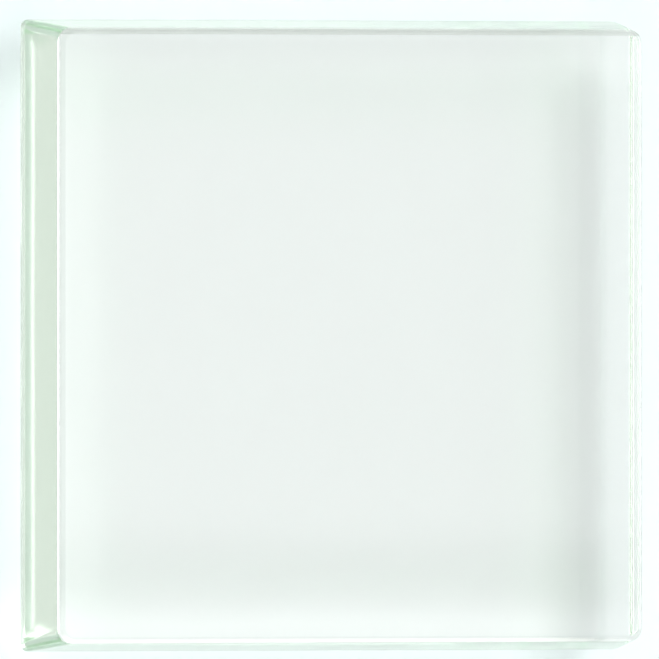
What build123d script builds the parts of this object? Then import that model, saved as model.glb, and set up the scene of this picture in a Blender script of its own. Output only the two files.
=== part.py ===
"""Square pressed glass tile, lying on its back face with its front face up.

Millimetres. The origin is the centre of the back face and +Z points out of the front face.
"""

import os

from build123d import *

# Driving dimensions
side = 48.0  # across the tile at its widest, just above the back: a 50 mm laying grid less one joint
thickness = 8.0  # back face to front face
wall_lean = 0.7  # how far each wall leans in towards the front, so that the tile leaves its mould
back_arris = 0.3  # bevel that takes the sharpness off the back edge
front_arris = 0.55  # rounded front edge, softened by fire polishing
back_corner_radius = 0.4  # vertical corners on the back face
wall_corner_radius = 0.6  # vertical corners at the foot of the walls
front_corner_radius = 1.2  # vertical corners at the head of the walls

# The block's outlines, from back to front: height, width, corner radius
outlines = (
    (0, side - 2 * back_arris, back_corner_radius),
    (back_arris, side, wall_corner_radius),
    (thickness, side - 2 * wall_lean, front_corner_radius),
)

os.makedirs("parts", exist_ok=True)

with BuildPart() as glass_tile:
    # Bevel and leaning walls, ruled between the outlines
    for height, width, corner_radius in outlines:
        with BuildSketch(Plane.XY.offset(height)):
            RectangleRounded(width, width, corner_radius)
    loft(ruled=True)

    # Front edge rounded over
    fillet(glass_tile.faces().sort_by(Axis.Z)[-1].edges(), front_arris)

glass_tile.part.label = "glass_tile"
export_step(glass_tile.part, "parts/glass_tile.step")
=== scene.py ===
"""Glass tile: a small square of pressed glass, and the pale table that it lies on.

The file is laid out as an add-on and run as a script. Lengths are metres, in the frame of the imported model:
the tile lies on its back face at height 0, and its front face is up.
"""

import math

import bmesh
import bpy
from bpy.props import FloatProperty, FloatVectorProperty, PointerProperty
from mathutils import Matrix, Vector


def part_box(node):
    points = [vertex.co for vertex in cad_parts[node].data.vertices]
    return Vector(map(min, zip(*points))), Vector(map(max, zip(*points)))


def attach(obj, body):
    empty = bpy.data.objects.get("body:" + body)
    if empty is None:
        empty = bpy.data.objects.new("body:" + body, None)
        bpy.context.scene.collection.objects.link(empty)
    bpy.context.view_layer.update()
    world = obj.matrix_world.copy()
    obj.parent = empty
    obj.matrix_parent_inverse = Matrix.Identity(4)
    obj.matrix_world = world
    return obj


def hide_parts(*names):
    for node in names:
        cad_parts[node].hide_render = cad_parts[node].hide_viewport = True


bl_info = {
    "name": "Glass tile",
    "version": (1, 0, 0),
    "blender": (4, 5, 0),
    "location": "3D View > Sidebar > Tile",
    "description": "Makes a pressed glass tile and the pale table that it lies on",
    "category": "Object",
}

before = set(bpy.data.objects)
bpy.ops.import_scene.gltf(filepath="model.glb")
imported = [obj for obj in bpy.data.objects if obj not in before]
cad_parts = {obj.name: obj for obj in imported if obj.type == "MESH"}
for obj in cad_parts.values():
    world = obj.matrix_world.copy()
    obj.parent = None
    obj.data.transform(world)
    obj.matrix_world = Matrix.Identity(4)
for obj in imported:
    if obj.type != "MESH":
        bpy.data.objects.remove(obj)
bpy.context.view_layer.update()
NODE_LOW, NODE_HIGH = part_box("glass_tile")

MM = 0.001
SIDE = NODE_HIGH.x - NODE_LOW.x
THICKNESS = NODE_HIGH.z - NODE_LOW.z

# The mesh's fineness
CORNER_SEGMENTS = 8
ARRIS_SEGMENTS = 6
WALL_STEPS = 8

# The camera: a square picture, with the tile's left foot and its height where the photograph has them
PICTURE_PX = 659
TILE_HEIGHT_PX = 630
TILE_LEFT_PX = 20.5
TILE_TOP_PX = 20.5
LENS_MM = 1500
SENSOR_MM = 36
FURTHEST_SEEN = 10  # metres

# The stage: the plate stays clear of the tile's back face, because two faces in one plane don't both show
PLATE_GAP = 0.03 * MM
PLATE_SIDE = 600 * MM
TABLE_GAP = 0.2 * MM
TABLE_SIDE = 3000 * MM

# Soft boxes: bearing from +X, height and half-width, all in degrees, and brightness in the middle
SOFT_BOXES = (
    (0, 17, 17, 4.2),  # low on the right
    (43, 53, 20, 3.1),  # high on the far right
    (262, 36, 25, 2.0),  # near side
    (0, 72, 30, 0.4),  # almost overhead
    (60, 34, 24, 1.4),  # far side
)

# How fast the horizon's glow fades with height: 1 is evenly, and 2 fastest near the horizon
GLOW_FALLOFF = 2.0

# Light crosses the glass many times between its polished faces before it leaves
BOUNCES = 48

# How much glass and acrylic bend light
GLASS_IOR = 1.52
ACRYLIC_IOR = 1.49

# The swells of the chilled surface: their width, and how far they rise
SWELL_WIDTH = 9 * MM
SWELL_RISE = 0.004 * MM

# Where the finishes end, as shares of the front arris: how far the painted shade on the front arrises reaches
# up and down from its middle, how far the far arris's stronger painted shade reaches to its sides, and the
# height of the strips without satin at the foot and the head of the walls
ARRIS_REACH = 0.49
FAR_ARRIS_REACH = 0.4
CLEAR_STRIP = 0.8

# The sockets of a colour mix, which share their names with its number sockets
MIX_FIRST = 6
MIX_SECOND = 7
MIX_RESULT = 2


def linear(hex_colour):
    """A colour written as sRGB hex, turned to the linear values that shaders take."""
    channels = [int(hex_colour[i : i + 2], 16) / 255 for i in (1, 3, 5)]
    return tuple(c / 12.92 if c <= 0.04045 else ((c + 0.055) / 1.055) ** 2.4 for c in channels)


class TileSizes(bpy.types.PropertyGroup):
    """The tile's own sizes, colours and finish. Its side and thickness come from the frame."""

    wall_lean: FloatProperty(
        name="Wall lean",
        description="How far each wall leans in towards the front",
        default=0.7 * MM,
        unit="LENGTH",
        precision=5,
    )
    wall_crown: FloatProperty(
        name="Wall crown",
        description="How far each wall stands out at half its height",
        default=0.02 * MM,
        unit="LENGTH",
        precision=5,
    )
    back_arris: FloatProperty(
        name="Back arris",
        description="Bevel round the back edge",
        default=0.3 * MM,
        unit="LENGTH",
        precision=5,
    )
    front_arris: FloatProperty(
        name="Front arris",
        description="Radius of the rounded front edge",
        default=0.55 * MM,
        unit="LENGTH",
        precision=5,
    )
    back_corner: FloatProperty(
        name="Back corners",
        description="Radius of the vertical corners on the back face",
        default=0.4 * MM,
        unit="LENGTH",
        precision=5,
    )
    foot_corner: FloatProperty(
        name="Foot corners",
        description="Radius of the vertical corners at the foot of the walls",
        default=0.6 * MM,
        unit="LENGTH",
        precision=5,
    )
    head_corner: FloatProperty(
        name="Head corners",
        description="Radius of the vertical corners at the head of the walls",
        default=1.2 * MM,
        unit="LENGTH",
        precision=5,
    )
    tint: FloatVectorProperty(
        name="Tint",
        description="Colour that the glass leaves in the light that crosses it",
        default=linear("#BFE5C2"),
        subtype="COLOR",
        min=0,
        max=1,
    )
    tint_density: FloatProperty(
        name="Tint density",
        description="Strength of the tint for each metre of glass",
        default=10.0,
    )
    skin: FloatVectorProperty(
        name="Skin",
        description="Colour that each face leaves in the light that passes it",
        default=linear("#FDF8F9"),
        subtype="COLOR",
        min=0,
        max=1,
    )
    # painted shade: this darker colour on the front arrises, strongest on the far one, stands in for the
    # shade that falls there
    shaded_skin: FloatVectorProperty(
        name="Shaded skin",
        description="Colour that the scuffed far arris leaves in the light that passes it",
        default=linear("#BEBEBA"),
        subtype="COLOR",
        min=0,
        max=1,
    )
    # painted shade on the other front arrises, as a share of the far arris's painted shade
    light_shade: FloatProperty(
        name="Light scuff",
        description="How far the other front arrises are scuffed, as a share of the far one",
        default=0.15,
        min=0,
        max=1,
    )
    wall_roughness: FloatProperty(
        name="Wall roughness",
        description="Roughness that the mould leaves on the walls",
        default=0.09,
        min=0,
        max=1,
    )


class TableLook(bpy.types.PropertyGroup):
    """The table, the light and the camera."""

    camera_lean: FloatProperty(
        name="Camera lean",
        description="How far the camera leans from overhead towards the tile's left wall",
        default=math.radians(18),
        subtype="ANGLE",
    )
    plate: FloatProperty(
        name="Plate",
        description="Thickness of the clear plate that lies on the white table",
        default=4 * MM,
        unit="LENGTH",
        precision=5,
    )
    table_colour: FloatVectorProperty(
        name="Table",
        description="Colour of the white table",
        default=linear("#F5FFFF"),
        subtype="COLOR",
        min=0,
        max=1,
    )
    fill: FloatProperty(
        name="Fill",
        description="Light from every side",
        default=0.62,
    )
    glow: FloatProperty(
        name="Glow",
        description="Light added at the horizon",
        default=5.9,
    )
    glow_top: FloatProperty(
        name="Glow's top",
        description="Height at which the horizon's light ends, as the sine of its angle",
        default=0.28,
    )


def add_node(tree, kind, settings, sockets):
    """Adds a node, sets its own settings, and gives its sockets a value or a link from another socket."""
    node = tree.nodes.new(kind)
    for name, value in settings.items():
        setattr(node, name, value)
    for name, value in sockets.items():
        if isinstance(value, bpy.types.NodeSocket):
            tree.links.new(value, node.inputs[name])
        else:
            node.inputs[name].default_value = value
    return node


def finish_piece(bm, name, material):
    """Turns a bmesh into an object at the origin, with its faces outwards and its material on."""
    bmesh.ops.recalc_face_normals(bm, faces=bm.faces)
    mesh = bpy.data.meshes.new(name)
    bm.to_mesh(mesh)
    bm.free()
    mesh.materials.append(material)
    piece = bpy.data.objects.new(name, mesh)
    bpy.context.scene.collection.objects.link(piece)
    return piece


def chill_swells(tree, place):
    """The low swells that the surface took as it chilled, as a normal."""
    swell = add_node(
        tree,
        "ShaderNodeTexNoise",
        {},
        {"Vector": place, "Scale": 1 / SWELL_WIDTH, "Detail": 1.0, "Roughness": 0.4},
    )
    bump = add_node(
        tree,
        "ShaderNodeBump",
        {},
        {"Height": swell.outputs["Fac"], "Distance": SWELL_RISE, "Strength": 1.0},
    )
    return bump.outputs["Normal"]


def arris_painted_shade(tree, parts, tile):
    """How far a place takes the painted shade: nowhere but on the front arrises, and fully on the far one."""
    on_arris = add_node(
        tree,
        "ShaderNodeMath",
        {"operation": "COMPARE"},
        {
            0: parts.outputs["Z"],
            1: THICKNESS - tile.front_arris / 2,
            2: tile.front_arris * ARRIS_REACH,
        },
    )
    at_far_wall = add_node(
        tree,
        "ShaderNodeMath",
        {"operation": "COMPARE"},
        {
            0: parts.outputs["Y"],
            1: SIDE / 2 - tile.wall_lean - tile.front_arris / 2,
            2: tile.front_arris * FAR_ARRIS_REACH,
        },
    )
    # painted shade: the full amount at the far arris, a light share on the other front arrises
    shade = add_node(
        tree,
        "ShaderNodeMath",
        {"operation": "MULTIPLY_ADD"},
        {0: at_far_wall.outputs["Value"], 1: 1 - tile.light_shade, 2: tile.light_shade},
    )
    shaded = add_node(
        tree,
        "ShaderNodeMath",
        {"operation": "MULTIPLY"},
        {0: on_arris.outputs["Value"], 1: shade.outputs["Value"]},
    )
    return shaded.outputs["Value"]


def mould_satin(tree, parts, tile):
    """The roughness that the mould left on the walls. The faces are polished and have none."""
    on_wall = add_node(
        tree,
        "ShaderNodeMath",
        {"operation": "COMPARE"},
        {0: parts.outputs["Z"], 1: THICKNESS / 2, 2: THICKNESS / 2 - tile.front_arris * CLEAR_STRIP},
    )
    satin = add_node(
        tree,
        "ShaderNodeMath",
        {"operation": "MULTIPLY"},
        {0: on_wall.outputs["Value"], 1: tile.wall_roughness},
    )
    return satin.outputs["Value"]


def pressed_glass(tile):
    """Pressed soda-lime glass, fire-polished: clear and sharp to look through, with a faint green where
    the eye looks a long way through it, a surface that swells by a few micrometres where it chilled, walls
    that the mould left faintly satin, and painted shade on the front arrises, the far one darkest."""
    material = bpy.data.materials.new("fire_polished_soda_lime_glass")
    material.use_nodes = True
    tree = material.node_tree
    shader = tree.nodes["Principled BSDF"]
    shader.inputs["IOR"].default_value = GLASS_IOR
    shader.inputs["Transmission Weight"].default_value = 1.0
    place = add_node(tree, "ShaderNodeTexCoord", {}, {}).outputs["Object"]
    parts = add_node(tree, "ShaderNodeSeparateXYZ", {}, {"Vector": place})
    # painted shade: the skin darkens towards the shaded colour on the front arrises, most on the far one
    skin = add_node(
        tree,
        "ShaderNodeMix",
        {"data_type": "RGBA"},
        {
            "Factor": arris_painted_shade(tree, parts, tile),
            MIX_FIRST: (*tile.skin, 1),
            MIX_SECOND: (*tile.shaded_skin, 1),
        },
    )
    tree.links.new(skin.outputs[MIX_RESULT], shader.inputs["Base Color"])
    tree.links.new(mould_satin(tree, parts, tile), shader.inputs["Roughness"])
    tree.links.new(chill_swells(tree, place), shader.inputs["Normal"])
    body = add_node(
        tree,
        "ShaderNodeVolumeAbsorption",
        {},
        {"Color": (*tile.tint, 1), "Density": tile.tint_density},
    )
    tree.links.new(body.outputs["Volume"], tree.nodes["Material Output"].inputs["Volume"])
    return material


def tile_outlines(tile):
    """The tile's level outlines from back to front, each as height, width and corner radius."""
    outlines = [(0.0, SIDE - 2 * tile.back_arris, tile.back_corner)]
    for step in range(WALL_STEPS + 1):
        share = step / WALL_STEPS
        height = tile.back_arris + share * (THICKNESS - tile.back_arris)
        # the crown is a parabola, with nothing at the foot and the head
        crown = tile.wall_crown * 4 * share * (1 - share)
        inset = share * tile.wall_lean - crown
        corner = tile.foot_corner + share * (tile.head_corner - tile.foot_corner)
        outlines.append((height, SIDE - 2 * inset, corner))
    return outlines


def add_outline(bm, height, width, corner):
    """Adds a level square with rounded corners, and returns its face."""
    before = set(bm.faces)
    square = bmesh.ops.create_grid(
        bm, x_segments=1, y_segments=1, size=width / 2, matrix=Matrix.Translation((0, 0, height))
    )
    bmesh.ops.bevel(
        bm,
        geom=square["verts"],
        offset=corner,
        offset_type="OFFSET",
        affect="VERTICES",
        segments=CORNER_SEGMENTS,
        profile=0.5,
        material=-1,
    )
    (face,) = set(bm.faces) - before
    return face


def build_tile(tile):
    """The tile's body: outlines bridged into a block, and its front edge rounded over."""
    bm = bmesh.new()
    faces = [add_outline(bm, *outline) for outline in tile_outlines(tile)]
    loops = [list(face.edges) for face in faces]
    bmesh.ops.delete(bm, geom=faces[1:-1], context="FACES_ONLY")
    for lower, upper in zip(loops, loops[1:]):
        bmesh.ops.bridge_loops(bm, edges=lower + upper)
    # the front edge turns by a right angle less the wall's lean
    turn = math.pi / 2 - math.atan(tile.wall_lean / THICKNESS)
    bmesh.ops.bevel(
        bm,
        geom=loops[-1],
        offset=tile.front_arris * math.tan(turn / 2),
        offset_type="OFFSET",
        affect="EDGES",
        segments=ARRIS_SEGMENTS,
        profile=0.5,
        material=-1,
    )
    for face in bm.faces:
        face.smooth = True
    return bm


class GLASS_TILE_OT_body(bpy.types.Operator):
    """Make the pressed glass tile in place of its CAD node"""

    bl_idname = "glass_tile.body"
    bl_label = "Make the tile"

    def execute(self, context):
        tile = context.scene.tile_sizes
        piece = finish_piece(build_tile(tile), "pressed_glass_tile", pressed_glass(tile))
        # large flat faces keep their own normals, so that they neither bend nor shade at their edges
        flats = piece.modifiers.new("flats", "WEIGHTED_NORMAL")
        flats.weight = 100
        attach(piece, "root")
        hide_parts("glass_tile")
        return {"FINISHED"}


def white_table(look):
    """White laminate, matt: it spreads the light evenly and shows no gloss."""
    material = bpy.data.materials.new("matt_white_laminate")
    material.use_nodes = True
    shader = material.node_tree.nodes["Principled BSDF"]
    shader.inputs["Base Color"].default_value = (*look.table_colour, 1)
    shader.inputs["Roughness"].default_value = 1.0
    shader.inputs["Specular IOR Level"].default_value = 0.0
    return material


def clear_plate():
    """Cast acrylic sheet, polished: colourless, and a little less bending than glass. The camera looks
    straight through it to the table, so that no lamp is mirrored beside the tile."""
    material = bpy.data.materials.new("clear_cast_acrylic")
    material.use_nodes = True
    tree = material.node_tree
    shader = tree.nodes["Principled BSDF"]
    shader.inputs["Base Color"].default_value = (1, 1, 1, 1)
    shader.inputs["IOR"].default_value = ACRYLIC_IOR
    shader.inputs["Roughness"].default_value = 0.0
    shader.inputs["Transmission Weight"].default_value = 1.0
    path = add_node(tree, "ShaderNodeLightPath", {}, {})
    unseen = add_node(tree, "ShaderNodeBsdfTransparent", {}, {})
    sheet = add_node(
        tree,
        "ShaderNodeMixShader",
        {},
        {0: path.outputs["Is Camera Ray"], 1: shader.outputs["BSDF"], 2: unseen.outputs["BSDF"]},
    )
    tree.links.new(sheet.outputs["Shader"], tree.nodes["Material Output"].inputs["Surface"])
    return material


def add_soft_box(tree, way, light, bearing, height, half_width, brightness):
    """Adds a soft box to the light: brightest in its middle, and fading out at its half-width."""
    turn = Matrix.Rotation(math.radians(bearing), 3, "Z")
    lift = Matrix.Rotation(-math.radians(height), 3, "Y")
    toward_middle = add_node(
        tree,
        "ShaderNodeVectorMath",
        {"operation": "DOT_PRODUCT"},
        {0: way, 1: turn @ lift @ Vector((1, 0, 0))},
    )
    box = add_node(
        tree,
        "ShaderNodeMapRange",
        {"interpolation_type": "SMOOTHSTEP"},
        {
            "Value": toward_middle.outputs["Value"],
            "From Min": math.cos(math.radians(half_width)),
            "To Max": brightness,
        },
    )
    total = add_node(tree, "ShaderNodeMath", {"operation": "ADD"}, {0: light, 1: box.outputs["Result"]})
    return total.outputs["Value"]


def light_the_room(look):
    """A soft studio: an even fill, a bright glow along the horizon, and soft boxes."""
    world = bpy.data.worlds.new("soft_studio")
    bpy.context.scene.world = world
    world.use_nodes = True
    tree = world.node_tree
    background = tree.nodes["Background"]
    way = add_node(tree, "ShaderNodeTexCoord", {}, {}).outputs["Generated"]
    parts = add_node(tree, "ShaderNodeSeparateXYZ", {}, {"Vector": way})
    near_horizon = add_node(
        tree,
        "ShaderNodeMapRange",
        {},
        {"Value": parts.outputs["Z"], "From Max": look.glow_top, "To Min": 1.0, "To Max": 0.0},
    )
    glow = add_node(
        tree,
        "ShaderNodeMath",
        {"operation": "POWER"},
        {0: near_horizon.outputs["Result"], 1: GLOW_FALLOFF},
    )
    total = add_node(
        tree,
        "ShaderNodeMath",
        {"operation": "MULTIPLY_ADD"},
        {0: glow.outputs["Value"], 1: look.glow, 2: look.fill},
    )
    light = total.outputs["Value"]
    for soft_box in SOFT_BOXES:
        light = add_soft_box(tree, way, light, *soft_box)
    tree.links.new(light, background.inputs["Strength"])
    background.inputs["Color"].default_value = (1, 1, 1, 1)


def place_camera(look):
    """A long lens that leans from overhead to the tile's left, with the tile framed as in the photograph."""
    lean = look.camera_lean
    back = Vector((-math.sin(lean), 0, math.cos(lean)))
    right = Vector((math.cos(lean), 0, math.sin(lean)))
    up = Vector((0, 1, 0))
    metres_per_px = SIDE / TILE_HEIGHT_PX
    left_foot = -SIDE / 2 * math.cos(lean)
    middle_right = left_foot + (PICTURE_PX / 2 - TILE_LEFT_PX) * metres_per_px
    middle_up = SIDE / 2 - (PICTURE_PX / 2 - TILE_TOP_PX) * metres_per_px
    distance = PICTURE_PX * metres_per_px * LENS_MM / SENSOR_MM
    camera = bpy.data.objects.new("camera", bpy.data.cameras.new("camera"))
    camera.data.lens = LENS_MM
    camera.data.sensor_width = SENSOR_MM
    camera.data.clip_end = FURTHEST_SEEN
    turn = Matrix((right, up, back)).transposed().to_4x4()
    stand = back * distance + right * middle_right + up * middle_up
    camera.matrix_world = Matrix.Translation(stand) @ turn
    bpy.context.scene.collection.objects.link(camera)
    bpy.context.scene.camera = camera


class GLASS_TILE_OT_stage(bpy.types.Operator):
    """Make the table, the light and the camera"""

    bl_idname = "glass_tile.stage"
    bl_label = "Make the stage"

    def execute(self, context):
        look = context.scene.table_look
        plate_foot = -PLATE_GAP - look.plate
        bm = bmesh.new()
        slab = Matrix.Diagonal((PLATE_SIDE, PLATE_SIDE, look.plate, 1))
        middle = Matrix.Translation((0, 0, plate_foot + look.plate / 2))
        bmesh.ops.create_cube(bm, size=1, matrix=middle @ slab)
        finish_piece(bm, "plate", clear_plate())
        bm = bmesh.new()
        level = Matrix.Translation((0, 0, plate_foot - TABLE_GAP))
        bmesh.ops.create_grid(bm, x_segments=1, y_segments=1, size=TABLE_SIDE / 2, matrix=level)
        finish_piece(bm, "table", white_table(look))
        light_the_room(look)
        place_camera(look)
        scene = context.scene
        scene.view_settings.view_transform = "Standard"
        scene.cycles.max_bounces = BOUNCES
        scene.cycles.transmission_bounces = BOUNCES
        scene.cycles.glossy_bounces = BOUNCES
        scene.cycles.blur_glossy = 0.0
        return {"FINISHED"}


class GLASS_TILE_PT_panel(bpy.types.Panel):
    """Lists the tile's sizes and the operators"""

    bl_idname = "GLASS_TILE_PT_panel"
    bl_label = "Glass tile"
    bl_space_type = "VIEW_3D"
    bl_region_type = "UI"
    bl_category = "Tile"

    def draw(self, context):
        for group in (context.scene.tile_sizes, context.scene.table_look):
            for name in group.__annotations__:
                self.layout.prop(group, name)
        for operator in OPERATORS:
            self.layout.operator(operator.bl_idname)


OPERATORS = (GLASS_TILE_OT_body, GLASS_TILE_OT_stage)
CLASSES = (TileSizes, TableLook, *OPERATORS, GLASS_TILE_PT_panel)


def register():
    for cls in CLASSES:
        bpy.utils.register_class(cls)
    bpy.types.Scene.tile_sizes = PointerProperty(type=TileSizes)
    bpy.types.Scene.table_look = PointerProperty(type=TableLook)


def unregister():
    del bpy.types.Scene.table_look
    del bpy.types.Scene.tile_sizes
    for cls in reversed(CLASSES):
        bpy.utils.unregister_class(cls)


def main():
    """Make everything."""
    register()
    bpy.ops.glass_tile.body()
    bpy.ops.glass_tile.stage()


if __name__ == "__main__":
    main()
